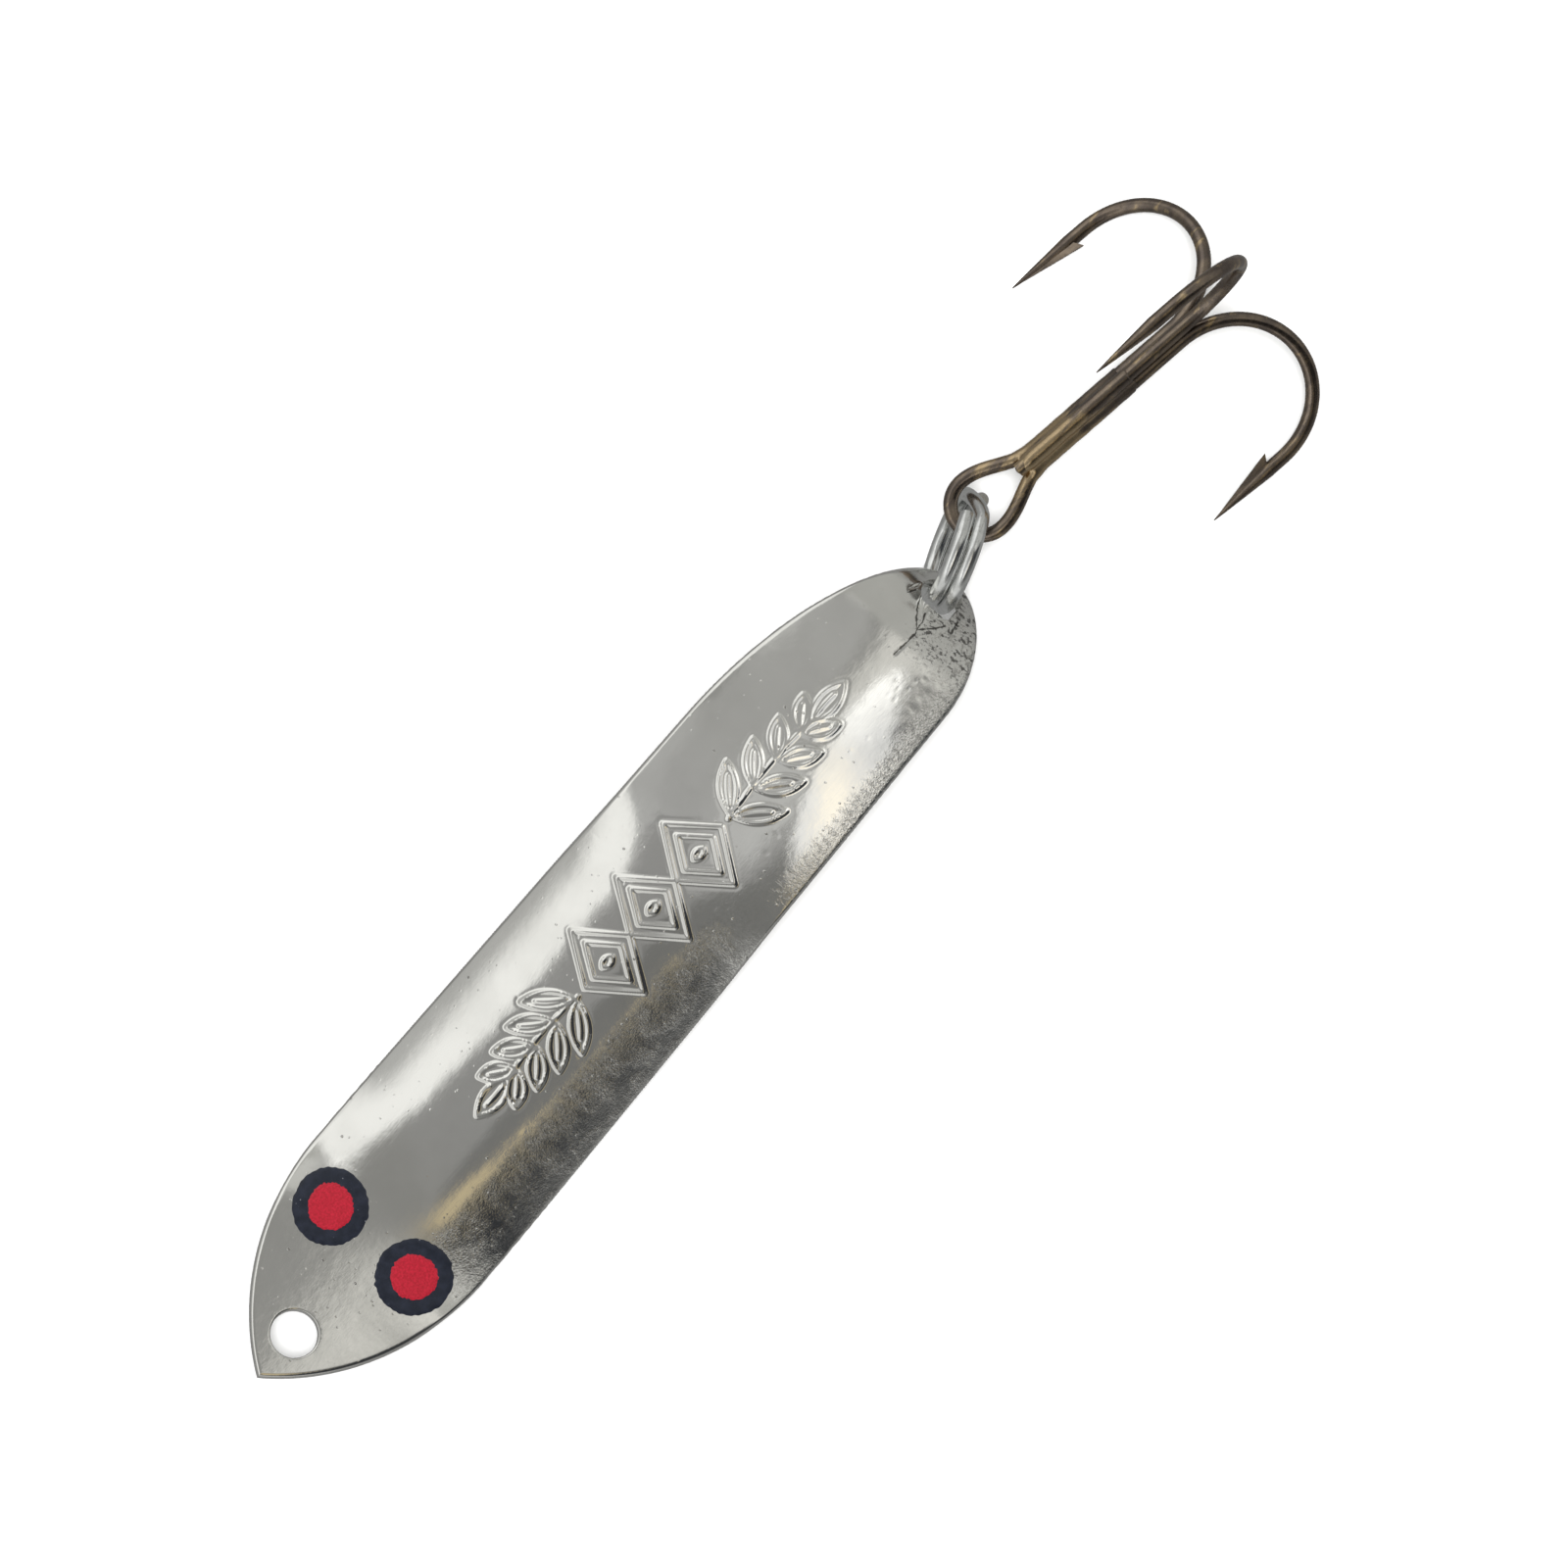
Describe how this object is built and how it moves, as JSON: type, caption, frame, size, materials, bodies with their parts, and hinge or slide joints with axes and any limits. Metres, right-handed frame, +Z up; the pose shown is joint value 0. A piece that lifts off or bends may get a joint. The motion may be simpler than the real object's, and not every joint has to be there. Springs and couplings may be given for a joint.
{
  "type": "spoon lure",
  "caption": "Curved metal casting spoon with painted eyes, a line hole in its nose, and a treble hook hanging from a split ring in its tail.",
  "frame": {"origin": "centre of the bounding box, on the surface that the lure lies on", "axes": "+X from the blade's nose to its tail and the hook, +Y to the blade's left with its convex face up, +Z up"},
  "size_m": [0.0992, 0.0218, 0.0198],
  "materials": {
    "plate": "bright nickel plate, lightly scuffed",
    "black_paint": "satin enamel",
    "red_paint": "satin enamel",
    "ring_wire": "bright zinc plate",
    "hook_wire": "bronzed",
    "braze": "bronzed brazing metal, rubbed bright in places"
  },
  "bodies": {
    "blade": {"blade": "plate", "left_eye_black": "black_paint", "left_eye_red": "red_paint", "right_eye_black": "black_paint", "right_eye_red": "red_paint"},
    "ring": {"split_ring": "ring_wire"},
    "hook": {"hook_pair": "hook_wire", "hook_single": "hook_wire", "braze": "braze"}
  },
  "joints": [
    {"name": "ring_swing", "type": "hinge", "parent": "blade", "child": "ring", "pos_m": [0.02011, 0.00162, 0.00377], "axis": [0.3447, -0.927, -0.1478], "range_deg": [-115, 20]},
    {"name": "hook_swing", "type": "hinge", "parent": "ring", "child": "hook", "pos_m": [0.02552, 0.00301, 0.00613], "axis": [-0.0511, 0.1241, 0.991], "range_deg": [-80, 80]}
  ]
}
